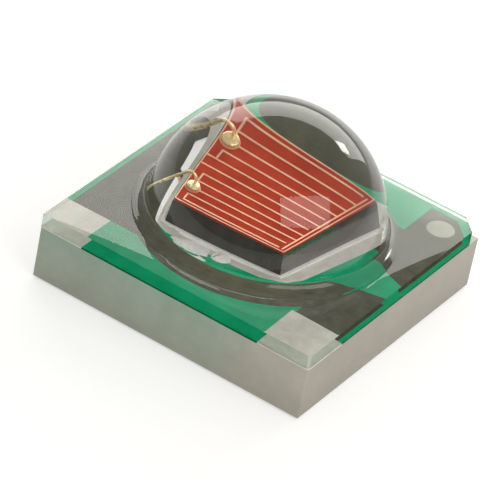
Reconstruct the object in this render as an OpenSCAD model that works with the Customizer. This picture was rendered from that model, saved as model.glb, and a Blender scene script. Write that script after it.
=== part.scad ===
// Surface-mount power LED with a domed clear lens on a square ceramic package.
// A red emitter chip is soldered to a silvered pad under the dome, and two gold
// bond wires run from its contact grid to the anode trace.
//
// Frame: origin at the centre of the solder pads' underside, +Z up through the dome.
// The package's left corner is at -X -Y, its front corner at +X -Y.

/* [Package] */
// Edge length of the square ceramic
package_w = 3.45; // [3.25:0.05:4.25]
// Thickness of the ceramic
ceramic_t = 0.63; // [0.4:0.01:1.2]
// Diameter of the metal vias through the ceramic
via_d = 0.18; // [0.1:0.01:0.3]
// Distance of each via from the middle, along the pad
via_y = 0.75; // [0.4:0.05:1.2]

/* [Solder pads underneath] */
// Thickness of the pads
solder_pad_t = 0.02; // [0.01:0.005:0.05]
// Length of all three pads
solder_pad_len = 3.3; // [2.8:0.05:3.4]
// Width of the anode and cathode pads
solder_pad_w = 0.5; // [0.35:0.05:0.55]
// Width of the thermal pad
thermal_pad_w = 1.3; // [1:0.05:1.4]
// Gap between neighbouring pads
solder_pad_gap = 0.4; // [0.25:0.05:0.45]

/* [Clear lens] */
// Height of the lens's flat layer above the ceramic
layer_t = 0.18; // [0.1:0.01:0.4]
// Distance from the package's edge to the dome's foot
foot_margin = 0.267; // [0.255:0.001:0.4]
// Height of the dome's centre above the flat layer
dome_lift = 0.043; // [0:0.001:0.12]
// Width of the rounded foot round the dome
foot_w = 0.143; // [0.08:0.001:0.18]
// Height of the foot's upright edge
foot_step = 0.02; // [0.01:0.005:0.05]
// Chamfer of the two back corners of the layer
back_chamfer = 0.2; // [0.05:0.01:0.3]
// Radius of the layer's front corner
front_corner_r = 0.05; // [0.02:0.01:0.15]

/* [Top metal and solder mask] */
// Thickness of the printed metal and of the solder mask
film_t = 0.02; // [0.01:0.005:0.04]
// Margin between the pads or the anode trace and the package edge
pad_margin = 0.03; // [0.01:0.005:0.08]
// Margin between the traces on the right and the package edge
trace_margin = 0.07; // [0.05:0.005:0.12]
// Side of the left corner pad
left_pad_w = 0.5; // [0.35:0.01:0.55]
// Side of the front corner pad
front_pad_w = 0.62; // [0.35:0.01:0.65]
// Width of the traces along the right edge
right_trace_w = 0.535; // [0.35:0.005:0.56]
// Clearance of the round window in the mask outside the dome's foot
window_clear = 0.012; // [0:0.002:0.03]
// Width of the band of metal inside the window
window_band_w = 0.58; // [0.4:0.01:0.6]
// Width of the mask gap across the right edge
edge_gap = 0.26; // [0.15:0.01:0.4]
// Width of the same gap inside the window
inner_gap = 0.6; // [0.4:0.01:0.7]
// Distance from the dome's axis at which the gap starts to narrow
gap_neck_x = 1.24; // [1.1:0.01:1.4]
// Shift of the gap's wide part towards the back
gap_shift = 0.03; // [-0.05:0.01:0.05]
// Angle at which the front trace's band starts, left of the front
front_band_start = -148; // [-160:1:-120]
// Angle at which the cathode trace's band ends, behind the right
cathode_band_end = 50; // [40:1:80]
// Width of the neck between the die pad and the right trace
neck_w = 0.3; // [0.15:0.01:0.5]
// Width of the cathode trace's strip behind the die pad
back_strip_w = 0.24; // [0.1:0.01:0.3]
// Gap between the die pad and that strip
back_strip_gap = 0.08; // [0.05:0.01:0.12]
// Diameter of the round mark
mark_d = 0.31; // [0.15:0.01:0.36]
// Distance of the mark's centre from the two package edges
mark_inset = 0.33; // [0.31:0.01:0.36]

/* [Chip] */
// Side of the square chip
chip_w = 1.06; // [0.7:0.01:1.12]
// Thickness of the dark carrier
carrier_t = 0.195; // [0.1:0.005:0.3]
// Thickness of the red emitter layer
emitter_t = 0.02; // [0.005:0.005:0.04]
// Setback of the emitter layer from the carrier's edge
emitter_inset = 0.008; // [0:0.001:0.03]
// Offset of the chip from the dome's axis along X
chip_x = -0.096; // [-0.12:0.002:0.1]
// Offset of the chip from the dome's axis along Y
chip_y = 0.142; // [-0.1:0.002:0.16]
// Thickness of the solder under the chip
solder_t = 0.02; // [0.01:0.005:0.04]
// Width of solder that shows round the chip
solder_rim = 0.035; // [0.01:0.005:0.05]
// Width of the die pad in front of and behind the chip
die_pad_rim = 0.14; // [0.08:0.01:0.16]
// Width of the die pad on the chip's right
die_pad_right = 0.17; // [0.08:0.01:0.2]
// Width of the die pad on the chip's left
die_pad_left = 0.06; // [0.055:0.005:0.08]
// Gap between the die pad and the anode's metal
trace_gap = 0.03; // [0.02:0.005:0.06]

/* [Contact grid] */
// Number of fingers
finger_count = 11; // [11:2:15]
// Width of a finger
finger_w = 0.013; // [0.006:0.001:0.02]
// Thickness of the grid's metal
grid_t = 0.004; // [0.002:0.001:0.008]
// Distance from the chip's edge to the fingers' rows at front and back
grid_end = 0.05; // [0.035:0.005:0.08]
// Distance from the chip's right edge to the bus
bus_inset = 0.05; // [0.035:0.005:0.08]
// Distance from the chip's left edge to the bond pads' centres
link_inset = 0.078; // [0.07:0.002:0.1]
// Distance from the chip's left edge to the starts of the long fingers
long_inset = 0.018; // [0.012:0.002:0.04]
// Gap between a short finger and the bus
short_gap = 0.035; // [0.02:0.005:0.06]
// Width of the line round the emitter's edge
border_w = 0.009; // [0.004:0.001:0.014]
// Diameter of the bond pads
bond_pad_d = 0.124; // [0.1:0.002:0.13]

/* [Bond wires] */
// Diameter of the wire
wire_d = 0.024; // [0.016:0.001:0.034]
// Diameter of the ball bonds
ball_d = 0.11; // [0.08:0.002:0.12]
// Height of the ball bonds
ball_h = 0.026; // [0.02:0.002:0.05]
// Distance of the wire's foot behind the ball's centre
wire_back = 0.03; // [0:0.002:0.03]
// Straight rise of the wire above the ball
wire_rise = 0.014; // [0.01:0.002:0.05]
// Radius of the wire's bend
wire_bend_r = 0.052; // [0.045:0.001:0.07]
// Slope of the front wire's fall, in degrees
front_fall_angle = 50; // [48:1:60]
// Slope of the back wire's fall, in degrees
back_fall_angle = 62; // [50:1:64]
// Length of the flat stitch on the trace
stitch_l = 0.07; // [0.04:0.005:0.1]
// Width of the stitch
stitch_w = 0.038; // [0.026:0.002:0.05]
// Thickness of the stitch
stitch_t = 0.01; // [0.006:0.001:0.016]

/* [Hidden] */
$fn = 64;
// Overlap that joins the shapes inside one piece
join = 0.01;

half_w = package_w / 2;
foot_r = half_w - foot_margin;
dome_r = foot_r - foot_w;

// Heights, from the solder pads upwards
ceramic_z = solder_pad_t;
film_z = ceramic_z + ceramic_t;
lens_z = film_z + film_t;
layer_z = film_z + layer_t;
foot_z = layer_z + foot_step;
dome_z = layer_z + dome_lift;
carrier_z = lens_z + solder_t;
emitter_z = carrier_z + carrier_t;
grid_z = emitter_z + emitter_t;
ball_z = grid_z + grid_t;

// Concave radius that runs from the foot's edge into the dome, meeting it at a small angle
meet_angle = 16;
foot_drop = foot_z - dome_z;
foot_fillet_r = (foot_r * foot_r + foot_drop * foot_drop - dome_r * dome_r)
    / (2 * (dome_r * cos(meet_angle) - foot_drop));

side_pad_x = thermal_pad_w / 2 + solder_pad_gap + solder_pad_w / 2;

// Edges of the top metal
window_r = foot_r + window_clear;
pad_edge = half_w - pad_margin;
trace_edge = half_w - trace_margin;
left_pad_end = -pad_edge + left_pad_w;
front_pad_end = pad_edge - front_pad_w;
front_pad_top = -pad_edge + front_pad_w;
right_trace_x = trace_edge - right_trace_w;
die_pad_x0 = chip_x - chip_w / 2 - die_pad_left;
die_pad_x1 = chip_x + chip_w / 2 + die_pad_right;
die_pad_y0 = chip_y - chip_w / 2 - die_pad_rim;
die_pad_y1 = chip_y + chip_w / 2 + die_pad_rim;
anode_trace_x = die_pad_x0 - trace_gap;
back_strip_y = die_pad_y1 + back_strip_gap;
mark_at = half_w - mark_inset;

// Contact grid rows, counted from the back
finger_x0 = chip_x - chip_w / 2 + link_inset;
bus_x = chip_x + chip_w / 2 - bus_inset;
grid_y1 = chip_y + chip_w / 2 - grid_end;
finger_pitch = (chip_w - 2 * grid_end) / (finger_count - 1);
// Rows where the back and front bond pads lie
back_pad_row = 3;
front_pad_row = finger_count - 2;
// Rows that stop short of the bus
SHORT_ROWS = [1, 5, 7, finger_count - 1, finger_count];
// Rows that start nearer to the chip's edge than the rest
LONG_ROWS = [5, 6];
// Rows joined by a line along their starts
LINKS = [[1, back_pad_row], [4, 5], [7, front_pad_row], [finger_count - 1, finger_count]];

// Solder that flowed out in front of the chip: distance from the chip's left edge, distance
// in front of it, radius and height of each drop
DROPS = [
    [0.17, 0.27, 0.11, 0.044],
    [0.29, 0.30, 0.13, 0.054],
    [0.40, 0.36, 0.12, 0.050],
    [0.22, 0.14, 0.12, 0.022],
    [0.49, 0.11, 0.09, 0.036],
    [0.56, 0.12, 0.09, 0.030],
];

function finger_y(row) = grid_y1 - (row - 1) * finger_pitch;
function has(list, value) = len(search(value, list)) > 0;

// A flat rectangle given by two opposite corners
module rect(x0, y0, x1, y1) {
    translate([x0, y0]) square([x1 - x0, y1 - y0]);
}

// A plate of printed metal or mask on the ceramic
module film() {
    translate([0, 0, film_z]) linear_extrude(film_t) children();
}

// Outline of the lens layer and the mask: two chamfered back corners, a rounded front corner
module layer_outline() {
    difference() {
        square(package_w, center = true);
        for (side = [-1, 1])
            translate([side * half_w, half_w]) rotate(45)
                square(back_chamfer * sqrt(2), center = true);
        translate([half_w - front_corner_r, -half_w]) difference() {
            square(front_corner_r);
            translate([0, front_corner_r]) circle(front_corner_r);
        }
    }
}

// Ceramic

module via_row(side) {
    for (end = [-1, 1]) translate([side * side_pad_x, end * via_y, ceramic_z]) children();
}

module ceramic_substrate() {
    color("#c3bfb4") difference() {
        translate([-half_w, -half_w, ceramic_z]) cube([package_w, package_w, ceramic_t]);
        for (side = [-1, 1]) via_row(side)
            translate([0, 0, -join]) cylinder(d = via_d, h = ceramic_t + 2 * join);
    }
}

module via(side, end) {
    color("#b08d57") translate([side * side_pad_x, end * via_y, ceramic_z])
        cylinder(d = via_d, h = ceramic_t);
}

module solder_pad(x, width) {
    color("#d9c27e") translate([x - width / 2, -solder_pad_len / 2, 0])
        cube([width, solder_pad_len, solder_pad_t]);
}

// Top metal, seen from above

// Corner left free of metal beside a chamfered back corner
module back_corner(side, margin) {
    translate([side * half_w, half_w]) rotate(45)
        square((back_chamfer + 2 * margin) * sqrt(2), center = true);
}

module anode_trace_shape() {
    difference() {
        rect(-pad_edge, -pad_edge + left_pad_w, anode_trace_x, pad_edge);
        back_corner(-1, pad_margin);
    }
}

module left_pad_shape() {
    rect(-pad_edge, -pad_edge, left_pad_end, -pad_edge + left_pad_w);
}

module front_pad_shape() {
    rect(front_pad_end, -pad_edge, pad_edge, front_pad_top);
}

// The part of the round window between two angles
module window_band(from, to) {
    reach = 2 * window_r;
    step = (to - from) / 4;
    intersection() {
        difference() {
            circle(window_r);
            circle(window_r - window_band_w);
        }
        polygon(concat([[0, 0]], [for (a = [from : step : to]) reach * [cos(a), sin(a)]]));
    }
}

// Mask gap that widens from the package edge to the window
module gap_shape() {
    inner_x = window_r - window_band_w - join;
    low_y = gap_shift - inner_gap / 2;
    high_y = gap_shift + inner_gap / 2;
    polygon([[inner_x, low_y], [gap_neck_x, low_y], [half_w, -edge_gap / 2],
             [half_w, edge_gap / 2], [gap_neck_x, high_y], [inner_x, high_y]]);
}

module front_trace_shape() {
    difference() {
        union() {
            rect(right_trace_x, front_pad_top, trace_edge, 0);
            window_band(front_band_start, 0);
        }
        gap_shape();
        front_pad_shape();
        left_pad_shape();
        anode_trace_shape();
        die_pad_shape(trace_gap);
    }
}

module cathode_trace_shape() {
    difference() {
        union() {
            rect(right_trace_x, 0, trace_edge, trace_edge);
            window_band(0, cathode_band_end);
            rect(die_pad_x1, die_pad_y1 - neck_w, right_trace_x + join, die_pad_y1);
            rect(die_pad_x0, back_strip_y, right_trace_x + join, back_strip_y + back_strip_w);
        }
        gap_shape();
        mark_shape();
        die_pad_shape();
        back_corner(1, trace_margin);
    }
}

// The die pad, or that and a gap all round it
module die_pad_shape(gap = 0) {
    rect(die_pad_x0 - gap, die_pad_y0 - gap, die_pad_x1 + gap, die_pad_y1 + gap);
}

module mark_shape() {
    translate([mark_at, mark_at]) circle(d = mark_d);
}

module anode_trace() color("#8d8a78") film() anode_trace_shape();
module front_trace() color("#6b6353") film() front_trace_shape();
module cathode_trace() color("#a19c8d") film() cathode_trace_shape();
module die_pad() color("#cfcabd") film() die_pad_shape();
module left_corner_pad() color("#dcd9d0") film() left_pad_shape();
module front_corner_pad() color("#c4beae") film() front_pad_shape();
module polarity_mark() color("#c9c8bb") film() mark_shape();

module solder_mask() {
    color("#0f8a5c") film() difference() {
        layer_outline();
        anode_trace_shape();
        front_trace_shape();
        cathode_trace_shape();
        die_pad_shape();
        left_pad_shape();
        front_pad_shape();
        mark_shape();
    }
}

// Chip

module chip_block(inset, z, height) {
    side = chip_w - 2 * inset;
    translate([chip_x - side / 2, chip_y - side / 2, z]) cube([side, side, height]);
}

module chip_carrier() color("#2a2723") chip_block(0, carrier_z, carrier_t);
module emitter_layer() color("#a8331a") chip_block(emitter_inset, emitter_z, emitter_t);

// A drop of solder: the cap of a ball, flat underneath
module solder_drop(radius, height) {
    ball_r = (radius * radius + height * height) / (2 * height);
    intersection() {
        translate([0, 0, height - ball_r]) sphere(ball_r);
        cylinder(r = radius + join, h = height + join);
    }
}

module die_solder() {
    color("#dedbd3") {
        chip_block(-solder_rim, lens_z, solder_t);
        for (drop = DROPS)
            translate([chip_x - chip_w / 2 + drop[0], chip_y - chip_w / 2 - drop[1], lens_z])
                solder_drop(drop[2], drop[3]);
    }
}

module finger(row) {
    x0 = has(LONG_ROWS, row) ? chip_x - chip_w / 2 + long_inset : finger_x0;
    x1 = bus_x - (has(SHORT_ROWS, row) ? short_gap : 0);
    rect(x0, finger_y(row) - finger_w / 2, x1, finger_y(row) + finger_w / 2);
}

module link(rows) {
    rect(finger_x0 - finger_w / 2, finger_y(rows[1]) - finger_w / 2,
         finger_x0 + finger_w / 2, finger_y(rows[0]) + finger_w / 2);
}

module bond_pad(row) {
    translate([finger_x0, finger_y(row)]) circle(d = bond_pad_d);
}

module border() {
    side = chip_w - 2 * emitter_inset;
    translate([chip_x, chip_y]) difference() {
        square(side, center = true);
        square(side - 2 * border_w, center = true);
    }
}

module contact_grid() {
    color("#e8c08a") translate([0, 0, grid_z]) linear_extrude(grid_t) {
        for (row = [1 : finger_count]) finger(row);
        for (rows = LINKS) link(rows);
        bond_pad(back_pad_row);
        bond_pad(front_pad_row);
        rect(bus_x - finger_w / 2, finger_y(finger_count) - finger_w / 2,
             bus_x + finger_w / 2, finger_y(1) + finger_w / 2);
        border();
    }
}

// Bond wires: a squashed ball on the pad, a rise, a bend over the chip's edge, a straight fall
// and a flat stitch on the anode trace

module ball_bond() {
    intersection() {
        translate([0, 0, ball_h / 2]) sphere(d = ball_d);
        cylinder(d = 2 * ball_d, h = ball_h);
    }
}

// The wire's centre line bends in the XZ plane, from straight up to falling towards -X
module wire_bend(fall) {
    rotate([90, 0, 0]) rotate_extrude(angle = 90 + fall) translate([wire_bend_r, 0]) circle(d = wire_d);
}

// A thinner core inside the wire, where one length of it runs on into the next
module wire_core() cylinder(d = wire_d / 2, h = 2 * join, center = true);

module bond_wire(row, fall) {
    bend_z = ball_z + ball_h + wire_rise;
    sweep = 90 + fall;
    fall_x = wire_bend_r * (cos(sweep) - 1);
    fall_z = bend_z + wire_bend_r * sin(sweep);
    fall_l = (fall_z - lens_z) / sin(fall);
    stitch_x = fall_x - (fall_z - lens_z) / tan(fall);
    color("#d8b04c") translate([finger_x0, finger_y(row), 0]) {
        translate([0, 0, ball_z]) ball_bond();
        translate([0, wire_back, 0]) difference() {
            union() {
                translate([0, 0, ball_z + ball_h / 2]) cylinder(d = wire_d, h = ball_h / 2 + wire_rise);
                translate([0, 0, bend_z]) wire_core();
                translate([-wire_bend_r, 0, bend_z]) wire_bend(fall);
                translate([fall_x, 0, fall_z]) rotate([0, 270 - fall, 0]) {
                    wire_core();
                    cylinder(d = wire_d, h = fall_l + wire_d);
                }
                translate([stitch_x - stitch_l / 2, 0, lens_z + stitch_t / 2])
                    cube([stitch_l, stitch_w, stitch_t], center = true);
            }
            translate([stitch_x - fall_l, -fall_l, lens_z - 2 * wire_d])
                cube([2 * fall_l, 2 * fall_l, 2 * wire_d]);
        }
    }
}

module front_bond_wire() bond_wire(front_pad_row, front_fall_angle);
module back_bond_wire() bond_wire(back_pad_row, back_fall_angle);

// Lens

module dome() {
    intersection() {
        translate([0, 0, dome_z]) sphere(dome_r, $fn = 128);
        translate([0, 0, layer_z - join]) cylinder(r = foot_r, h = 2 * dome_r, $fn = 128);
    }
}

module lens_foot() {
    inside_dome = 0.9 * dome_r;
    translate([0, 0, layer_z - join]) cylinder(r = foot_r, h = foot_step + join, $fn = 128);
    rotate_extrude($fn = 128) difference() {
        rect(inside_dome, foot_z - join, foot_r, foot_z + foot_fillet_r);
        translate([foot_r, foot_z + foot_fillet_r]) circle(foot_fillet_r);
    }
}

module clear_lens() {
    color("#dfe6e0", 0.35) difference() {
        union() {
            translate([0, 0, lens_z]) linear_extrude(layer_z - lens_z) layer_outline();
            dome();
            lens_foot();
        }
        chip_carrier();
        emitter_layer();
        contact_grid();
        die_solder();
        front_bond_wire();
        back_bond_wire();
    }
}

ceramic_substrate();
solder_pad(-side_pad_x, solder_pad_w);  // anode_solder_pad
solder_pad(0, thermal_pad_w);  // thermal_solder_pad
solder_pad(side_pad_x, solder_pad_w);  // cathode_solder_pad
via(-1, -1);  // anode_via_front
via(-1, 1);  // anode_via_back
via(1, -1);  // cathode_via_front
via(1, 1);  // cathode_via_back
anode_trace();
front_trace();
cathode_trace();
die_pad();
left_corner_pad();
front_corner_pad();
polarity_mark();
solder_mask();
die_solder();
chip_carrier();
emitter_layer();
contact_grid();
front_bond_wire();
back_bond_wire();
clear_lens();
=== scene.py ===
"""A surface-mount power LED: a square ceramic package under a clear lens with a dome.

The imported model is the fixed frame. Pieces whose round forms have to be smooth are modelled
here in millimetres, in the same places, and brought down to the frame's metres at the end.
"""

import math

import bpy
from mathutils import Matrix, Quaternion, Vector


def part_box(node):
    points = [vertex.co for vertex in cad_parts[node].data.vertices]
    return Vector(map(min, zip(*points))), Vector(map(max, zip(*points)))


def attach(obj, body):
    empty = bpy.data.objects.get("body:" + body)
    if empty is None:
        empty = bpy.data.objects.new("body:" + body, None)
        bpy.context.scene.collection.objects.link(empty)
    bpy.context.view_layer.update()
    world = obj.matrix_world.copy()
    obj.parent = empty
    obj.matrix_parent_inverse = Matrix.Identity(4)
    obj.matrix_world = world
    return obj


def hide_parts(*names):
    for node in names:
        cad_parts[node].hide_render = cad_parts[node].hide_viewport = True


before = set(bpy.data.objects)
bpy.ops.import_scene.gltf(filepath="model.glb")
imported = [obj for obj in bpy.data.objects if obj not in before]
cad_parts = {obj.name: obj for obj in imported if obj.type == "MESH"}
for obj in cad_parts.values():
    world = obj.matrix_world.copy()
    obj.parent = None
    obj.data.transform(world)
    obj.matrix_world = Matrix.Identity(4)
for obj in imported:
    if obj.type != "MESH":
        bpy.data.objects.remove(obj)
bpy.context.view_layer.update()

# One millimetre in the frame's metres
MM = 0.001


def box_mm(node):
    """Lowest and highest corner of a CAD node, in millimetres."""
    low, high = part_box(node)
    return low / MM, high / MM


# Places taken from the frame, in millimetres
LENS_LOW, LENS_HIGH = box_mm("clear_lens")
CHIP_LOW, CHIP_HIGH = box_mm("chip_carrier")
GRID_TOP = box_mm("contact_grid")[1].z
FILM_Z = box_mm("solder_mask")[0].z
HALF_W = LENS_HIGH.x
LENS_Z = LENS_LOW.z

# Sizes of the lens, in millimetres
FOOT_R = HALF_W - 0.267
DOME_R = FOOT_R - 0.143
FOOT_STEP = 0.02
LAYER_TOP = FILM_Z + 0.18
DOME_Z = LENS_HIGH.z - DOME_R
MEET_ANGLE = math.radians(16)
BACK_CHAMFER = 0.2
FRONT_CORNER_R = 0.05
LENS_INDEX = 1.5
# How far the lens dips into the films, so that no air shows between them
DIP = 0.002

# Sizes of the printed films, in millimetres
WINDOW_R = FOOT_R + 0.012
WINDOW_BAND_W = 0.58
PAD_MARGIN = 0.03
TRACE_MARGIN = 0.07
RIGHT_TRACE_W = 0.535
NECK_W = 0.3
BACK_STRIP_W = 0.24
BACK_STRIP_GAP = 0.04
TRACE_GAP = 0.03
EDGE_GAP = 0.26
INNER_GAP = 0.6
GAP_NECK_X = 1.24
GAP_SHIFT = 0.03
# Angles at which the bands of metal under the dome's foot start and end, in degrees
FRONT_BAND = (-148, 0)
CATHODE_BAND = (0, 118)
# How far a cutter reaches past what it cuts, and how far joined films overlap
PAST = 0.1
OVERLAP = 0.01

# Broken and rounded edges, in millimetres
RIM_BEVEL = 0.005
LAYER_BEVEL = 0.008
CERAMIC_BEVEL = 0.009
SOLDER_BEVEL = 0.012
BALL_BEVEL = 0.011

# How near to a place a vertex counts as on it, how near two vertices merge, and how near a cut snaps
NEAR = 0.0005
MERGE = 0.0002
CUT_NEAR = 0.00001
# Size of the plane that is merged into the first point of a profile
SEED = 0.01

# How finely round forms are drawn
ROUND_STEPS = 192
DOME_STEPS = 72
FOOT_STEPS = 10
BEND_STEPS = 24

# Sizes of the bond wires, in millimetres
WIRE_R = 0.012
BALL_R = 0.055
BALL_H = 0.026
WIRE_BACK = 0.03
WIRE_RISE = 0.014
WIRE_BEND_R = 0.052
STITCH_L = 0.07
STITCH_T = 0.01
STITCH_BACK = 0.01
# Length over which a wire flattens into its stitch, and what its section is scaled by there
FLARE_L = 0.03
STITCH_SPREAD = (0, 1.5, 0.4)
STITCH_TAPER = (1, 0.8, 0.7)
BOND_X = CHIP_LOW.x + 0.078
GRID_END = 0.05
FINGER_PITCH = (CHIP_HIGH.y - CHIP_LOW.y - 2 * GRID_END) / 10
# Row of each wire's bond pad, counted from the back, and the slope of its fall in degrees
WIRES = {"back_bond_wire": (3, 62), "front_bond_wire": (9, 50)}

# Solder that flowed out in front of the chip: distance from the chip's left edge, distance
# in front of it, radius and height of each drop, in millimetres
DROPS = [
    (0.17, 0.27, 0.11, 0.044),
    (0.29, 0.30, 0.13, 0.054),
    (0.40, 0.36, 0.12, 0.050),
    (0.22, 0.14, 0.12, 0.022),
    (0.49, 0.11, 0.09, 0.036),
    (0.56, 0.12, 0.09, 0.030),
]

# How coarsely the solder's parts are melted together, and how often it is smoothed
SOLDER_VOXEL = 0.005
SOLDER_SMOOTHING = 6

# Camera, fitted to the photograph's outlines
AZIMUTH = math.radians(27.1294)
ELEVATION = math.radians(34.5293)
ROLL = math.radians(11.7298)
CAMERA_DISTANCE = 48.7224
FOCAL_PIXELS = 4529.95
FRAME_PIXELS = 500
SENSOR = 36.0
LOOK_AT_Z = 0.82
LOOK_RIGHT = -0.1637
LOOK_UP = -0.3231
# Nearest and farthest that the camera sees, in metres
CLIP = (0.001, 2.0)


def direction(azimuth, elevation):
    """Unit vector towards an azimuth and elevation: azimuth 0 is -Y, and a quarter turn is +X."""
    flat = math.cos(elevation)
    return Vector((math.sin(azimuth) * flat, -math.cos(azimuth) * flat, math.sin(elevation)))


# Camera, floor and light

# Colour of the room's light and of the lamps
ROOM_LIGHT = (1.0, 0.985, 0.93)
# The room's strength runs from one level to the other over this span of the view's Y
ROOM_SPAN = (-0.6, 0.7)
ROOM_LEVEL = (0.5, 0.7)
FLOOR_COLOR = (0.62, 0.62, 0.62)
FLOOR_SIZE = 0.6
# What the floor adds to its own light where the camera sees it, so that it looks white
FLOOR_LIFT = 0.5


def add_math(tree, operation, first, second=0.0):
    """A math node on two sockets or numbers."""
    node = tree.nodes.new("ShaderNodeMath")
    node.operation = operation
    for socket, value in zip(node.inputs, (first, second)):
        if isinstance(value, (int, float)):
            socket.default_value = value
        else:
            tree.links.new(value, socket)
    return node.outputs[0]


def add_camera():
    back = direction(AZIMUTH, ELEVATION)
    side = Vector((math.cos(AZIMUTH), math.sin(AZIMUTH), 0))
    over = back.cross(side)
    right = side * math.cos(ROLL) + over * math.sin(ROLL)
    up = over * math.cos(ROLL) - side * math.sin(ROLL)
    target = Vector((0, 0, LOOK_AT_Z)) + right * LOOK_RIGHT + up * LOOK_UP
    camera = bpy.data.objects.new("camera", bpy.data.cameras.new("camera"))
    bpy.context.scene.collection.objects.link(camera)
    turn = Matrix((right, up, back)).transposed().to_4x4()
    camera.matrix_world = Matrix.Translation((target + back * CAMERA_DISTANCE) * MM) @ turn
    camera.data.sensor_width = SENSOR
    camera.data.lens = FOCAL_PIXELS * SENSOR / FRAME_PIXELS
    camera.data.clip_start, camera.data.clip_end = CLIP
    bpy.context.scene.camera = camera


def add_softbox(name, azimuth, elevation, width, height, radiance, roll=0.0, distance=25.0):
    """An area lamp that covers width by height degrees of the sky as the object sees it."""
    toward = direction(math.radians(azimuth), math.radians(elevation))
    lamp = bpy.data.lights.new(name, "AREA")
    lamp.shape = "RECTANGLE"
    lamp.size = 2 * distance * MM * math.tan(math.radians(width / 2))
    lamp.size_y = 2 * distance * MM * math.tan(math.radians(height / 2))
    lamp.energy = math.pi * lamp.size * lamp.size_y * radiance
    lamp.color = ROOM_LIGHT
    box = bpy.data.objects.new(name, lamp)
    bpy.context.scene.collection.objects.link(box)
    box.rotation_mode = "QUATERNION"
    box.location = toward * distance * MM
    turn = Quaternion((0, 0, 1), math.radians(roll))
    box.rotation_quaternion = toward.to_track_quat("Z", "Y") @ turn
    box.visible_camera = False


def add_world():
    """A soft pale room, brighter behind than in front."""
    world = bpy.data.worlds.new("room")
    bpy.context.scene.world = world
    world.use_nodes = True
    nodes, links = world.node_tree.nodes, world.node_tree.links
    nodes.clear()
    coords = nodes.new("ShaderNodeTexCoord")
    split = nodes.new("ShaderNodeSeparateXYZ")
    links.new(coords.outputs["Generated"], split.inputs[0])
    ramp = nodes.new("ShaderNodeMapRange")
    ramp.inputs["From Min"].default_value = ROOM_SPAN[0]
    ramp.inputs["From Max"].default_value = ROOM_SPAN[1]
    ramp.inputs["To Min"].default_value = ROOM_LEVEL[0]
    ramp.inputs["To Max"].default_value = ROOM_LEVEL[1]
    links.new(split.outputs["Y"], ramp.inputs["Value"])
    background = nodes.new("ShaderNodeBackground")
    background.inputs["Color"].default_value = (*ROOM_LIGHT, 1)
    links.new(ramp.outputs["Result"], background.inputs["Strength"])
    output = nodes.new("ShaderNodeOutputWorld")
    links.new(background.outputs[0], output.inputs["Surface"])


def add_floor():
    deselect_all()
    bpy.ops.mesh.primitive_plane_add(size=FLOOR_SIZE, location=(0, 0, 0))
    floor = bpy.context.object
    floor.name = "floor"
    mat = bpy.data.materials.new("white_sweep")
    mat.use_nodes = True
    nodes, links = mat.node_tree.nodes, mat.node_tree.links
    shader = nodes["Principled BSDF"]
    shader.inputs["Base Color"].default_value = (*FLOOR_COLOR, 1)
    shader.inputs["Roughness"].default_value = 0.9
    shader.inputs["Specular IOR Level"].default_value = 0.0
    shader.inputs["Emission Color"].default_value = (1, 1, 1, 1)
    rays = nodes.new("ShaderNodeLightPath").outputs
    seen = add_math(mat.node_tree, "MAXIMUM", rays["Is Camera Ray"], rays["Is Glossy Ray"])
    seen = add_math(mat.node_tree, "MAXIMUM", seen, rays["Is Transmission Ray"])
    lift = add_math(mat.node_tree, "MULTIPLY", seen, FLOOR_LIFT)
    links.new(lift, shader.inputs["Emission Strength"])
    floor.data.materials.append(mat)


# Modelling helpers

def deselect_all():
    bpy.ops.object.select_all(action="DESELECT")


def edit(piece):
    deselect_all()
    piece.select_set(True)
    bpy.context.view_layer.objects.active = piece
    bpy.ops.object.mode_set(mode="EDIT")
    bpy.ops.mesh.select_mode(type="VERT")


def done():
    bpy.ops.object.mode_set(mode="OBJECT")


def pick_edges(piece, test):
    """In edit mode, selects the edges whose two ends both pass the test."""
    bpy.ops.mesh.select_mode(type="EDGE")
    bpy.ops.mesh.select_all(action="DESELECT")
    done()
    places = [v.co.copy() for v in piece.data.vertices]
    for line in piece.data.edges:
        line.select = all(test(places[i]) for i in line.vertices)
    bpy.ops.object.mode_set(mode="EDIT")


def apply_place(piece):
    deselect_all()
    piece.select_set(True)
    bpy.context.view_layer.objects.active = piece
    bpy.ops.object.transform_apply(location=True, rotation=True, scale=True)


def apply_modifier(piece, kind, **settings):
    modifier = piece.modifiers.new(kind.lower(), kind)
    for name, value in settings.items():
        setattr(modifier, name, value)
    bpy.context.view_layer.objects.active = piece
    bpy.ops.object.modifier_apply(modifier=modifier.name)


def add_block(name, low, high):
    """A box between two corners."""
    deselect_all()
    middle = (Vector(low) + Vector(high)) / 2
    bpy.ops.mesh.primitive_cube_add(size=1, location=middle)
    block = bpy.context.object
    block.name = name
    block.scale = Vector(high) - Vector(low)
    apply_place(block)
    return block


def add_point(name, place):
    """A mesh of one vertex, as the start of a profile."""
    deselect_all()
    bpy.ops.mesh.primitive_plane_add(size=SEED, location=place)
    piece = bpy.context.object
    piece.name = name
    apply_place(piece)
    edit(piece)
    bpy.ops.mesh.select_all(action="SELECT")
    bpy.ops.mesh.merge(type="CENTER")
    return piece


def combine(piece, other, operation):
    """Joins, cuts or trims a piece with another, which is used up."""
    apply_modifier(piece, "BOOLEAN", operation=operation, object=other, solver="EXACT")
    bpy.data.objects.remove(other)


def add_disc(name, middle, radius, low, high, sides=ROUND_STEPS):
    """An upright cylinder."""
    deselect_all()
    bpy.ops.mesh.primitive_cylinder_add(vertices=sides, radius=radius, depth=high - low,
                                        location=(middle[0], middle[1], (low + high) / 2))
    disc = bpy.context.object
    disc.name = name
    apply_place(disc)
    return disc


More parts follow.
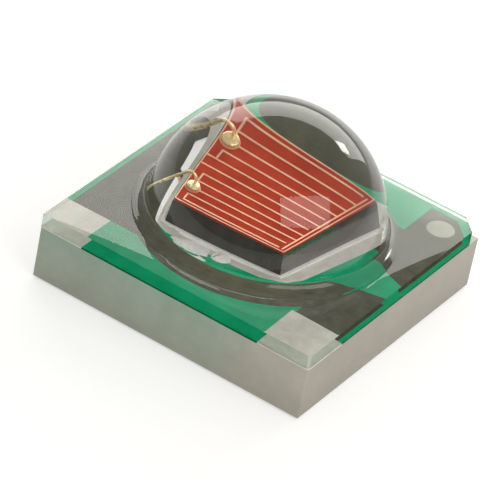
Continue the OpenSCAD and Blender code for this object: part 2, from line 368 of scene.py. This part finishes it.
def add_outline(name, points, low, high):
    """A flat outline drawn point by point, filled and extruded up into a solid."""
    piece = add_point(name, (*points[0], low))
    for here, there in zip(points, points[1:]):
        move = (there[0] - here[0], there[1] - here[1], 0)
        bpy.ops.mesh.extrude_region_move(TRANSFORM_OT_translate={"value": move})
    bpy.ops.mesh.select_all(action="SELECT")
    bpy.ops.mesh.edge_face_add()
    bpy.ops.mesh.extrude_region_move(TRANSFORM_OT_translate={"value": (0, 0, high - low)})
    bpy.ops.mesh.select_all(action="SELECT")
    bpy.ops.mesh.normals_make_consistent(inside=False)
    done()
    return piece


def finish_piece(piece, material, nodes, angle=35):
    """Brings a piece modelled in millimetres to metres, shades it and puts it in place of its nodes."""
    piece.scale = (MM, MM, MM)
    apply_place(piece)
    bpy.ops.object.shade_smooth_by_angle(angle=math.radians(angle))
    piece.data.materials.clear()
    piece.data.materials.append(material)
    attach(piece, "root")
    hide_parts(*nodes)


# Materials

def group_socket(tree, name, kind, way="INPUT"):
    tree.interface.new_socket(name=name, in_out=way, socket_type=kind)


# Depth of the fine relief, in millimetres
RELIEF_DEPTH = 0.01


def make_mottle_group():
    """Two colours mixed by a soft noise, for surfaces whose tone wanders."""
    tree = bpy.data.node_groups.new("mottle", "ShaderNodeTree")
    group_socket(tree, "Vector", "NodeSocketVector")
    group_socket(tree, "Scale", "NodeSocketFloat")
    group_socket(tree, "Low", "NodeSocketFloat")
    group_socket(tree, "High", "NodeSocketFloat")
    group_socket(tree, "Dark", "NodeSocketColor")
    group_socket(tree, "Light", "NodeSocketColor")
    group_socket(tree, "Color", "NodeSocketColor", "OUTPUT")
    group_socket(tree, "Value", "NodeSocketFloat", "OUTPUT")
    nodes, links = tree.nodes, tree.links
    inputs = nodes.new("NodeGroupInput")
    noise = nodes.new("ShaderNodeTexNoise")
    noise.inputs["Detail"].default_value = 6
    noise.inputs["Roughness"].default_value = 0.6
    spread = nodes.new("ShaderNodeMapRange")
    mix = nodes.new("ShaderNodeMix")
    mix.data_type = "RGBA"
    outputs = nodes.new("NodeGroupOutput")
    links.new(inputs.outputs["Vector"], noise.inputs["Vector"])
    links.new(inputs.outputs["Scale"], noise.inputs["Scale"])
    links.new(noise.outputs["Fac"], spread.inputs["Value"])
    links.new(inputs.outputs["Low"], spread.inputs["From Min"])
    links.new(inputs.outputs["High"], spread.inputs["From Max"])
    links.new(spread.outputs["Result"], mix.inputs["Factor"])
    links.new(inputs.outputs["Dark"], mix.inputs["A"])
    links.new(inputs.outputs["Light"], mix.inputs["B"])
    links.new(mix.outputs["Result"], outputs.inputs["Color"])
    links.new(spread.outputs["Result"], outputs.inputs["Value"])
    return tree


def make_relief_group():
    """A normal roughened by fine noise."""
    tree = bpy.data.node_groups.new("relief", "ShaderNodeTree")
    group_socket(tree, "Vector", "NodeSocketVector")
    group_socket(tree, "Scale", "NodeSocketFloat")
    group_socket(tree, "Strength", "NodeSocketFloat")
    group_socket(tree, "Normal", "NodeSocketVector", "OUTPUT")
    nodes, links = tree.nodes, tree.links
    inputs = nodes.new("NodeGroupInput")
    noise = nodes.new("ShaderNodeTexNoise")
    noise.inputs["Detail"].default_value = 5
    bump = nodes.new("ShaderNodeBump")
    bump.inputs["Distance"].default_value = RELIEF_DEPTH * MM
    outputs = nodes.new("NodeGroupOutput")
    links.new(inputs.outputs["Vector"], noise.inputs["Vector"])
    links.new(inputs.outputs["Scale"], noise.inputs["Scale"])
    links.new(noise.outputs["Fac"], bump.inputs["Height"])
    links.new(inputs.outputs["Strength"], bump.inputs["Strength"])
    links.new(bump.outputs["Normal"], outputs.inputs["Normal"])
    return tree


# What the colours of single faces are multiplied by, as painted shade and, on the ceramic's front,
# painted green light
# Painted shade: the lens's sawn sides are tinted darker, so that the films seen through them look shaded
SAWN_SHADE_TINT = (0.62, 0.72, 0.66)
# The sawn sides bend and mirror hardly any light
SAWN_INDEX = 1.05
# Painted shade on the ceramic's right side
CERAMIC_RIGHT_SHADE_TINT = (0.78, 0.77, 0.77)
# Painted green light that the mask throws on the ceramic's front
CERAMIC_GREEN_GLOW_TINT = (0.72, 1.0, 0.93)
# Painted shade on the mask's sawn edge
MASK_EDGE_SHADE_TINT = (0.3, 0.35, 0.3)
# How square to an axis a face is when its painted shade, painted green light or extra gloss starts and
# when it is full
SIDE_NORMAL = (0.5, 0.9)
MASK_EDGE_SHADE_NORMAL = (0.8, 0.4)
# Where on the ceramic's front the painted green light from the mask is full and where it ends, in
# millimetres
GREEN_GLOW_X = (0.5, 1.1)
GREEN_GLOW_FOOT_Z = -0.3
# How deep under the package's sides the lens counts as sawn
SAWN_DEPTH = 0.004
# Specular level of the chip's sides: the right one is polished
CHIP_GLOSS = 0.01
CHIP_RIGHT_GLOSS = 0.37

MOTTLE = make_mottle_group()
RELIEF = make_relief_group()


def add_group(tree, group, **values):
    node = tree.nodes.new("ShaderNodeGroup")
    node.node_tree = group
    for name, value in values.items():
        node.inputs[name].default_value = value
    return node


def add_mm_coords(tree, stretch=(1, 1, 1)):
    """Object coordinates in millimetres."""
    coords = tree.nodes.new("ShaderNodeTexCoord")
    mapping = tree.nodes.new("ShaderNodeMapping")
    mapping.inputs["Scale"].default_value = [s / MM for s in stretch]
    tree.links.new(coords.outputs["Object"], mapping.inputs["Vector"])
    return mapping.outputs["Vector"]


def surface(name, dark, light, scale=6.0, low=0.3, high=0.7, relief_scale=40.0, relief=0.2,
            rough=(0.35, 0.5), stretch=(1, 1, 1), **fixed):
    """A mottled finish: colour, roughness and fine relief from noise, and fixed values on the shader."""
    mat = bpy.data.materials.new(name)
    mat.use_nodes = True
    tree = mat.node_tree
    shader = tree.nodes["Principled BSDF"]
    coords = add_mm_coords(tree, stretch)
    mottle = add_group(tree, MOTTLE, Scale=scale, Low=low, High=high,
                       Dark=(*dark, 1), Light=(*light, 1))
    tree.links.new(coords, mottle.inputs["Vector"])
    tree.links.new(mottle.outputs["Color"], shader.inputs["Base Color"])
    gloss = tree.nodes.new("ShaderNodeMapRange")
    gloss.inputs["To Min"].default_value = rough[0]
    gloss.inputs["To Max"].default_value = rough[1]
    tree.links.new(mottle.outputs["Value"], gloss.inputs["Value"])
    tree.links.new(gloss.outputs["Result"], shader.inputs["Roughness"])
    bumps = add_group(tree, RELIEF, Scale=relief_scale, Strength=relief)
    tree.links.new(coords, bumps.inputs["Vector"])
    tree.links.new(bumps.outputs["Normal"], shader.inputs["Normal"])
    for socket, value in fixed.items():
        shader.inputs[socket.replace("_", " ")].default_value = value
    return mat


def add_ramp(tree, value, start, end):
    """A value that runs from 0 at the start to 1 at the end."""
    ramp = tree.nodes.new("ShaderNodeMapRange")
    ramp.inputs["From Min"].default_value = start
    ramp.inputs["From Max"].default_value = end
    tree.links.new(value, ramp.inputs["Value"])
    return ramp.outputs["Result"]


def add_parts(tree, output):
    """The three parts of the object's own normal or place in millimetres."""
    coords = tree.nodes.new("ShaderNodeTexCoord")
    split = tree.nodes.new("ShaderNodeSeparateXYZ")
    source = add_mm_coords(tree) if output == "Object" else coords.outputs[output]
    tree.links.new(source, split.inputs[0])
    return list(split.outputs)


def tint_where(mat, mask, tint):
    """Multiplies a finish's colour by a tint where the mask is 1."""
    tree = mat.node_tree
    socket = tree.nodes["Principled BSDF"].inputs["Base Color"]
    mix = tree.nodes.new("ShaderNodeMix")
    mix.data_type = "RGBA"
    mix.blend_type = "MULTIPLY"
    mix.inputs["B"].default_value = (*tint, 1)
    if socket.links:
        tree.links.new(socket.links[0].from_socket, mix.inputs["A"])
    else:
        mix.inputs["A"].default_value = socket.default_value
    tree.links.new(mask, mix.inputs["Factor"])
    tree.links.new(mix.outputs["Result"], socket)


def make_clear_silicone():
    """Clear lens resin; its sawn sides hardly mirror, and are tinted darker as painted shade on the films
    seen through them.
    """
    mat = bpy.data.materials.new("clear_silicone")
    mat.use_nodes = True
    tree = mat.node_tree
    shader = tree.nodes["Principled BSDF"]
    shader.inputs["Base Color"].default_value = (1.0, 1.0, 1.0, 1)
    shader.inputs["Roughness"].default_value = 0.0
    shader.inputs["Transmission Weight"].default_value = 1.0
    x, y, _ = add_parts(tree, "Object")
    reach = [add_math(tree, "ABSOLUTE", part) for part in (x, y)]
    reach = add_math(tree, "MAXIMUM", *reach)
    sawn = add_math(tree, "GREATER_THAN", reach, HALF_W - SAWN_DEPTH)
    # Painted shade: the sawn sides darken what is seen and lit through them
    tint_where(mat, sawn, SAWN_SHADE_TINT)
    drop = add_math(tree, "MULTIPLY", sawn, LENS_INDEX - SAWN_INDEX)
    index = add_math(tree, "SUBTRACT", LENS_INDEX, drop)
    tree.links.new(index, shader.inputs["IOR"])
    return mat


def make_ceramic():
    """Alumina, with painted green light from the mask on the front side and painted shade darkening the
    right side.
    """
    mat = surface("ceramic", (0.50, 0.475, 0.41), (0.60, 0.57, 0.51), scale=2.5, relief_scale=60,
                  relief=0.25, rough=(0.5, 0.7), Subsurface_Weight=0.25,
                  Subsurface_Radius=(0.3 * MM, 0.3 * MM, 0.25 * MM))
    tree = mat.node_tree
    normal_x, normal_y, _ = add_parts(tree, "Normal")
    x, _, z = add_parts(tree, "Object")
    # Painted shade: the right side is darkened
    tint_where(mat, add_ramp(tree, normal_x, *SIDE_NORMAL), CERAMIC_RIGHT_SHADE_TINT)
    # Painted light: the mask's green on the front side, fading towards the right and towards the foot
    front = add_ramp(tree, normal_y, -SIDE_NORMAL[0], -SIDE_NORMAL[1])
    green = add_math(tree, "MULTIPLY", front, add_ramp(tree, x, GREEN_GLOW_X[1], GREEN_GLOW_X[0]))
    green = add_math(tree, "MULTIPLY", green, add_ramp(tree, z, GREEN_GLOW_FOOT_Z, FILM_Z))
    tint_where(mat, green, CERAMIC_GREEN_GLOW_TINT)
    return mat


def make_solder_mask():
    """Green mask, with painted shade darkening its sawn edge."""
    mat = surface("solder_mask", (0.008, 0.40, 0.19), (0.016, 0.53, 0.26), scale=3.0,
                  relief_scale=50, relief=0.1, rough=(0.3, 0.45), Specular_IOR_Level=0.0)
    tree = mat.node_tree
    flat = add_math(tree, "ABSOLUTE", add_parts(tree, "Normal")[2])
    # Painted shade: the upright faces are darkened
    tint_where(mat, add_ramp(tree, flat, *MASK_EDGE_SHADE_NORMAL), MASK_EDGE_SHADE_TINT)
    return mat


def make_chip_body():
    """Near-black chip body, polished on its right side."""
    mat = surface("chip_body", (0.02, 0.016, 0.010), (0.06, 0.05, 0.034), scale=7.0,
                  relief_scale=25, relief=0.1, rough=(0.06, 0.16), stretch=(1, 1, 0.3), IOR=3.2)
    tree = mat.node_tree
    right = add_ramp(tree, add_parts(tree, "Normal")[0], *SIDE_NORMAL)
    gloss = add_math(tree, "MULTIPLY", right, CHIP_RIGHT_GLOSS - CHIP_GLOSS)
    gloss = add_math(tree, "ADD", gloss, CHIP_GLOSS)
    tree.links.new(gloss, tree.nodes["Principled BSDF"].inputs["Specular IOR Level"])
    return mat


def make_materials():
    return {
        "ceramic": make_ceramic(),
        "solder_mask": make_solder_mask(),
        "trace_metal": surface("trace_metal", (0.06, 0.06, 0.036), (0.14, 0.138, 0.088), scale=7.0,
                               low=0.25, high=0.75, relief_scale=45, relief=0.35,
                               rough=(0.4, 0.6), Metallic=0.3, Specular_IOR_Level=0.0),
        "silver_pad": surface("silver_pad", (0.76, 0.73, 0.66), (0.90, 0.87, 0.81), scale=9.0,
                              relief_scale=60, relief=0.3, rough=(0.4, 0.55), Metallic=0.15,
                              Specular_IOR_Level=0.0),
        "polarity_mark": surface("polarity_mark", (0.42, 0.41, 0.35), (0.52, 0.51, 0.44), scale=9.0,
                                 relief_scale=60, relief=0.3, rough=(0.4, 0.55), Metallic=0.15,
                                 Specular_IOR_Level=0.0),
        "solder": surface("solder", (0.82, 0.8, 0.76), (0.99, 0.98, 0.96), scale=24.0, low=0.3, high=0.45,
                          relief_scale=50, relief=0.4, rough=(0.3, 0.45), Specular_IOR_Level=0.0),
        "chip_body": make_chip_body(),
        "emitter_red": surface("emitter_red", (0.46, 0.034, 0.008), (0.60, 0.058, 0.016), scale=5.0,
                               relief_scale=80, relief=0.15, rough=(0.3, 0.45), Specular_IOR_Level=0.0),
        "contact_gold": surface("contact_gold", (0.80, 0.40, 0.24), (0.98, 0.58, 0.38), scale=10.0,
                                relief_scale=60, relief=0.1, rough=(0.3, 0.45), Metallic=0.2),
        "bond_gold": surface("bond_gold", (0.8, 0.6, 0.28), (0.98, 0.8, 0.48), scale=12.0,
                             relief_scale=60, relief=0.15, rough=(0.2, 0.32), Metallic=0.6),
        "solder_gold": surface("solder_gold", (0.55, 0.48, 0.33), (0.75, 0.68, 0.5), scale=4.0,
                               relief_scale=40, relief=0.3, rough=(0.35, 0.5), Metallic=0.8),
        "via_metal": surface("via_metal", (0.4, 0.3, 0.16), (0.6, 0.45, 0.25), Metallic=0.8),
        "clear_silicone": make_clear_silicone(),
    }


NODE_MATERIALS = {
    "ceramic": ["ceramic_substrate"],
    "solder_mask": ["solder_mask"],
    "trace_metal": ["anode_trace", "front_trace", "cathode_trace"],
    "silver_pad": ["die_pad"],
    "polarity_mark": ["polarity_mark"],
    "solder": ["die_solder"],
    "chip_body": ["chip_carrier"],
    "emitter_red": ["emitter_layer"],
    "contact_gold": ["contact_grid"],
    "bond_gold": ["front_bond_wire", "back_bond_wire"],
    "solder_gold": ["anode_solder_pad", "thermal_solder_pad", "cathode_solder_pad"],
    "via_metal": ["anode_via_front", "anode_via_back", "cathode_via_front", "cathode_via_back"],
}


def dress_nodes(materials):
    for slot, nodes in NODE_MATERIALS.items():
        for node in nodes:
            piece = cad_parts[node]
            piece.data.materials.clear()
            piece.data.materials.append(materials[slot])


# Lens

def add_package_plate(name, low, high):
    """A plate of the package's outline, with chamfered back corners and a rounded front corner."""
    plate = add_block(name, (-HALF_W, -HALF_W, low), (HALF_W, HALF_W, high))
    edit(plate)
    for side in (-1, 1):
        pick_edges(plate, lambda p: p.y > HALF_W - NEAR and p.x * side > HALF_W - NEAR)
        bpy.ops.mesh.bevel(offset=BACK_CHAMFER, offset_type="OFFSET", segments=1)
    pick_edges(plate, lambda p: p.y < 0 and p.x > 0)
    bpy.ops.mesh.bevel(offset=FRONT_CORNER_R, segments=6)
    done()
    return plate


def add_dome():
    """The dome with its rounded foot: a profile of two arcs, spun round the axis."""
    rim_z = LAYER_TOP + FOOT_STEP
    drop = rim_z - DOME_Z
    across = DOME_R * math.cos(MEET_ANGLE) - drop
    fillet_r = (FOOT_R ** 2 + drop ** 2 - DOME_R ** 2) / (2 * across)
    fillet_z = rim_z + fillet_r
    # Where the dome's arc meets the fillet's, seen from the dome's centre
    reach = Vector((FOOT_R, fillet_z - DOME_Z))
    along = (DOME_R ** 2 - fillet_r ** 2 + reach.length ** 2) / (2 * reach.length)
    aside = math.sqrt(DOME_R ** 2 - along ** 2)
    unit = reach.normalized()
    meet = unit * along + Vector((unit.y, -unit.x)) * aside
    dome_angle = math.atan2(meet.x, meet.y)
    fillet_angle = math.atan2(FOOT_R - meet.x, fillet_z - DOME_Z - meet.y)

    dome = add_point("dome", (0, 0, DOME_Z + DOME_R))
    bpy.ops.mesh.spin(steps=DOME_STEPS, angle=-dome_angle, center=(0, 0, DOME_Z), axis=(0, 1, 0))
    bpy.ops.mesh.spin(steps=FOOT_STEPS, angle=fillet_angle, center=(FOOT_R, 0, fillet_z),
                      axis=(0, 1, 0))
    bottom = (LENS_Z + LAYER_TOP) / 2 - rim_z
    bpy.ops.mesh.extrude_region_move(TRANSFORM_OT_translate={"value": (0, 0, bottom)})
    bpy.ops.mesh.extrude_region_move(TRANSFORM_OT_translate={"value": (-FOOT_R, 0, 0)})
    bpy.ops.mesh.select_all(action="SELECT")
    bpy.ops.mesh.spin(steps=ROUND_STEPS, angle=2 * math.pi, center=(0, 0, 0), axis=(0, 0, 1))
    bpy.ops.mesh.select_all(action="SELECT")
    bpy.ops.mesh.remove_doubles(threshold=MERGE)
    bpy.ops.mesh.select_all(action="SELECT")
    bpy.ops.mesh.normals_make_consistent(inside=False)
    pick_edges(dome, lambda p: abs(p.z - rim_z) < NEAR and p.xy.length > FOOT_R - NEAR)
    bpy.ops.mesh.bevel(offset=RIM_BEVEL, segments=3)
    done()
    return dome


def add_lens(material):
    lens = add_package_plate("lens", LENS_Z - DIP, LAYER_TOP)
    edit(lens)
    pick_edges(lens, lambda p: p.z > LAYER_TOP - NEAR)
    bpy.ops.mesh.bevel(offset=LAYER_BEVEL, segments=2)
    done()
    combine(lens, add_dome(), "UNION")
    finish_piece(lens, material, ["clear_lens"])


# Ceramic

def add_ceramic(material):
    """The ceramic plate with its edges broken and its via holes."""
    low, high = box_mm("ceramic_substrate")
    ceramic = add_block("ceramic_plate", low, high)
    edit(ceramic)
    bpy.ops.mesh.select_all(action="SELECT")
    bpy.ops.mesh.bevel(offset=CERAMIC_BEVEL, segments=2)
    done()
    for node in NODE_MATERIALS["via_metal"]:
        via_low, via_high = box_mm(node)
        middle = (via_low + via_high) / 2
        hole = add_disc("hole", middle, (via_high.x - via_low.x) / 2, low.z - PAST, high.z + PAST, 48)
        combine(ceramic, hole, "DIFFERENCE")
    finish_piece(ceramic, material, ["ceramic_substrate"])


# Printed films on the ceramic

def add_node_block(node, low, high, gap=0):
    """A block of a flat node's outline between two heights, with a gap all round if one is given."""
    corner, far = box_mm(node)
    return add_block(node + "_block", (corner.x - gap, corner.y - gap, low),
                     (far.x + gap, far.y + gap, high))


def add_mark_disc(low, high):
    corner, far = box_mm("polarity_mark")
    return add_disc("mark", (corner + far) / 2, (far.x - corner.x) / 2, low, high, 64)


def add_window_band(start, end, low, high):
    """The part of the metal ring under the dome's foot between two angles in degrees."""
    band = add_disc("band", (0, 0), WINDOW_R, low, high)
    hole = add_disc("hole", (0, 0), WINDOW_R - WINDOW_BAND_W, low - PAST, high + PAST)
    combine(band, hole, "DIFFERENCE")
    reach = 2 * WINDOW_R
    turns = [math.radians(start + (end - start) * i / 4) for i in range(5)]
    points = [(0, 0)] + [(reach * math.cos(t), reach * math.sin(t)) for t in turns]
    combine(band, add_outline("wedge", points, low - PAST, high + PAST), "INTERSECT")
    return band


def add_gap(low, high):
    """The mask gap across the right edge, narrow at the edge and wide at the window."""
    inner_x = WINDOW_R - WINDOW_BAND_W - OVERLAP
    low_y = GAP_SHIFT - INNER_GAP / 2
    high_y = GAP_SHIFT + INNER_GAP / 2
    points = [(inner_x, low_y), (GAP_NECK_X, low_y), (HALF_W, -EDGE_GAP / 2),
              (HALF_W, EDGE_GAP / 2), (GAP_NECK_X, high_y), (inner_x, high_y)]
    return add_outline("gap", points, low, high)


def add_corner(side, margin, low, high):
    """The corner that the metal leaves free beside a chamfered back corner."""
    cut = BACK_CHAMFER + 2 * margin
    points = [(side * (HALF_W - cut), HALF_W), (side * HALF_W, HALF_W - cut),
              (side * (HALF_W + PAST), HALF_W + PAST)]
    return add_outline("corner", points, low - PAST, high + PAST)


def add_anode_trace_body(low, high):
    trace = add_node_block("anode_trace", low, high)
    combine(trace, add_corner(-1, PAD_MARGIN, low, high), "DIFFERENCE")
    return trace


def add_front_trace_body(name, low, high):
    trace_edge = box_mm("front_trace")[1].x
    pad_top = box_mm("front_corner_pad")[1].y
    trace = add_block(name, (trace_edge - RIGHT_TRACE_W, pad_top, low), (trace_edge, 0, high))
    combine(trace, add_window_band(*FRONT_BAND, low, high), "UNION")
    combine(trace, add_gap(low - PAST, high + PAST), "DIFFERENCE")
    for node in ("front_corner_pad", "left_corner_pad", "anode_trace"):
        combine(trace, add_node_block(node, low - PAST, high + PAST), "DIFFERENCE")
    combine(trace, add_node_block("die_pad", low - PAST, high + PAST, TRACE_GAP), "DIFFERENCE")
    return trace


def add_cathode_trace_body(name, low, high):
    trace_edge = box_mm("cathode_trace")[1].x
    pad_low, pad_high = box_mm("die_pad")
    inner = trace_edge - RIGHT_TRACE_W
    trace = add_block(name, (inner, 0, low), (trace_edge, trace_edge, high))
    combine(trace, add_window_band(*CATHODE_BAND, low, high), "UNION")
    join_x = inner + OVERLAP
    neck = add_block("neck", (pad_high.x, pad_high.y - NECK_W, low), (join_x, pad_high.y, high))
    combine(trace, neck, "UNION")
    strip_y = pad_high.y + BACK_STRIP_GAP
    strip = add_block("strip", (pad_low.x, strip_y, low), (join_x, strip_y + BACK_STRIP_W, high))
    combine(trace, strip, "UNION")
    combine(trace, add_gap(low - PAST, high + PAST), "DIFFERENCE")
    combine(trace, add_mark_disc(low - PAST, high + PAST), "DIFFERENCE")
    combine(trace, add_node_block("die_pad", low - PAST, high + PAST), "DIFFERENCE")
    combine(trace, add_corner(1, TRACE_MARGIN, low, high), "DIFFERENCE")
    return trace


CORNER_PADS = ("left_corner_pad", "front_corner_pad")


def add_pad_block(node, low, high):
    """A corner pad's block, carried on past the sawn edges."""
    corner, far = box_mm(node)
    past = HALF_W + PAST
    start, end = (corner.x, past) if far.x > 0 else (-past, far.x)
    return add_block(node + "_film", (start, -past, low), (end, far.y, high))


def add_bare_strip(low, high):
    """The bare ceramic between the anode trace and the die pad."""
    pad_low, pad_high = box_mm("die_pad")
    trace_edge = box_mm("anode_trace")[1].x
    return add_block("bare_strip", (trace_edge, pad_low.y, low), (pad_low.x, pad_high.y, high))


def add_films(materials):
    """The solder mask, the corner pads and the two traces with round outlines."""
    front = add_front_trace_body("front_trace_film", FILM_Z, LENS_Z)
    finish_piece(front, materials["trace_metal"], ["front_trace"])
    cathode = add_cathode_trace_body("cathode_trace_film", FILM_Z, LENS_Z)
    finish_piece(cathode, materials["trace_metal"], ["cathode_trace"])

    mask = add_package_plate("mask_film", FILM_Z, LENS_Z)
    low, high = FILM_Z - PAST, LENS_Z + PAST
    combine(mask, add_node_block("die_pad", low, high), "DIFFERENCE")
    combine(mask, add_bare_strip(low, high), "DIFFERENCE")
    for node in CORNER_PADS:
        combine(mask, add_pad_block(node, low, high), "DIFFERENCE")
        pad = add_pad_block(node, FILM_Z, LENS_Z)
        combine(pad, add_package_plate("trim", low, high), "INTERSECT")
        finish_piece(pad, materials["silver_pad"], [node])
    combine(mask, add_anode_trace_body(low, high), "DIFFERENCE")
    combine(mask, add_mark_disc(low, high), "DIFFERENCE")
    combine(mask, add_front_trace_body("cutter", low, high), "DIFFERENCE")
    combine(mask, add_cathode_trace_body("cutter", low, high), "DIFFERENCE")
    finish_piece(mask, materials["solder_mask"], ["solder_mask"])


# Chip and its wires

def add_solder(material):
    """The solder that squeezed out round the chip, with the drops in front of it."""
    rim = CHIP_LOW.x - box_mm("die_solder")[0].x
    solder = add_block("solder_joint", (CHIP_LOW.x - rim, CHIP_LOW.y - rim, LENS_Z),
                       (CHIP_HIGH.x + rim, CHIP_HIGH.y + rim, CHIP_LOW.z))
    edit(solder)
    pick_edges(solder, lambda p: p.z > CHIP_LOW.z - NEAR)
    bpy.ops.mesh.bevel(offset=SOLDER_BEVEL, segments=3)
    for left, front, radius, height in DROPS:
        bpy.ops.mesh.primitive_uv_sphere_add(segments=48, ring_count=24, radius=1,
                                             location=(CHIP_LOW.x + left, CHIP_LOW.y - front, LENS_Z),
                                             scale=(radius, radius, height))
    bpy.ops.mesh.select_all(action="SELECT")
    bpy.ops.mesh.bisect(plane_co=(0, 0, LENS_Z), plane_no=(0, 0, 1), clear_inner=True, use_fill=True,
                        threshold=CUT_NEAR)
    done()
    apply_modifier(solder, "REMESH", mode="VOXEL", voxel_size=SOLDER_VOXEL)
    apply_modifier(solder, "SMOOTH", factor=0.5, iterations=SOLDER_SMOOTHING)
    finish_piece(solder, material, ["die_solder"], angle=60)


def add_bond_wire(node, row, fall_angle, material):
    """A squashed ball on the bond pad and a wire that rises, bends over and falls to the trace."""
    y = CHIP_HIGH.y - GRID_END - (row - 1) * FINGER_PITCH
    ball_top = GRID_TOP + BALL_H
    wire = add_disc(node.replace("_bond", ""), (BOND_X, y), BALL_R, GRID_TOP, ball_top, 48)
    edit(wire)
    for end in (GRID_TOP, ball_top):
        pick_edges(wire, lambda p: abs(p.z - end) < NEAR)
        bpy.ops.mesh.bevel(offset=BALL_BEVEL, segments=4)
    done()

    bend_z = ball_top + WIRE_RISE
    y += WIRE_BACK
    sweep = math.radians(90 + fall_angle)
    fall_x = BOND_X - WIRE_BEND_R + WIRE_BEND_R * math.cos(sweep)
    fall_z = bend_z + WIRE_BEND_R * math.sin(sweep)
    slope = math.radians(fall_angle)
    stitch_x = fall_x - (fall_z - LENS_Z) / math.tan(slope)
    middle_z = LENS_Z + STITCH_T / 2
    deselect_all()
    bpy.ops.mesh.primitive_circle_add(vertices=16, radius=WIRE_R, fill_type="NGON",
                                      location=(BOND_X, y, GRID_TOP + BALL_H / 2))
    line = bpy.context.object
    apply_place(line)
    edit(line)
    bpy.ops.mesh.select_all(action="SELECT")
    bpy.ops.mesh.extrude_region_move(
        TRANSFORM_OT_translate={"value": (0, 0, BALL_H / 2 + WIRE_RISE)})
    bpy.ops.mesh.spin(steps=BEND_STEPS, angle=sweep, center=(BOND_X - WIRE_BEND_R, y, bend_z),
                      axis=(0, 1, 0))
    rest = FLARE_L * math.sin(slope)
    fall = (fall_z - middle_z) - rest
    bpy.ops.mesh.extrude_region_move(
        TRANSFORM_OT_translate={"value": (-fall / math.tan(slope), 0, -fall)})
    bpy.ops.mesh.extrude_region_move(
        TRANSFORM_OT_translate={"value": (-rest / math.tan(slope) - STITCH_BACK, 0, -rest)})
    foot = (stitch_x - STITCH_BACK, y, middle_z)
    bpy.ops.transform.resize(value=STITCH_SPREAD, center_override=foot)
    bpy.ops.mesh.extrude_region_move(TRANSFORM_OT_translate={"value": (-STITCH_L / 2, 0, 0)})
    end = (foot[0] - STITCH_L / 2, y, middle_z)
    bpy.ops.transform.resize(value=STITCH_TAPER, center_override=end)
    bpy.ops.mesh.select_all(action="SELECT")
    bpy.ops.mesh.normals_make_consistent(inside=False)
    done()
    combine(wire, line, "UNION")
    finish_piece(wire, material, [node], angle=50)


materials = make_materials()
add_camera()
add_world()
add_floor()
add_softbox("back_softbox", -158, 25, 70, 28.2, 2.7, roll=10)
add_softbox("right_softbox", 73, 38, 47, 27, 2.6, roll=-16)
add_softbox("back_lamp", 169, 27, 8, 8, 9.0)

dress_nodes(materials)
add_lens(materials["clear_silicone"])
add_ceramic(materials["ceramic"])
add_films(materials)
add_solder(materials["solder"])
for node, (row, fall_angle) in WIRES.items():
    add_bond_wire(node, row, fall_angle, materials["bond_gold"])

bpy.context.scene.view_settings.view_transform = "Standard"
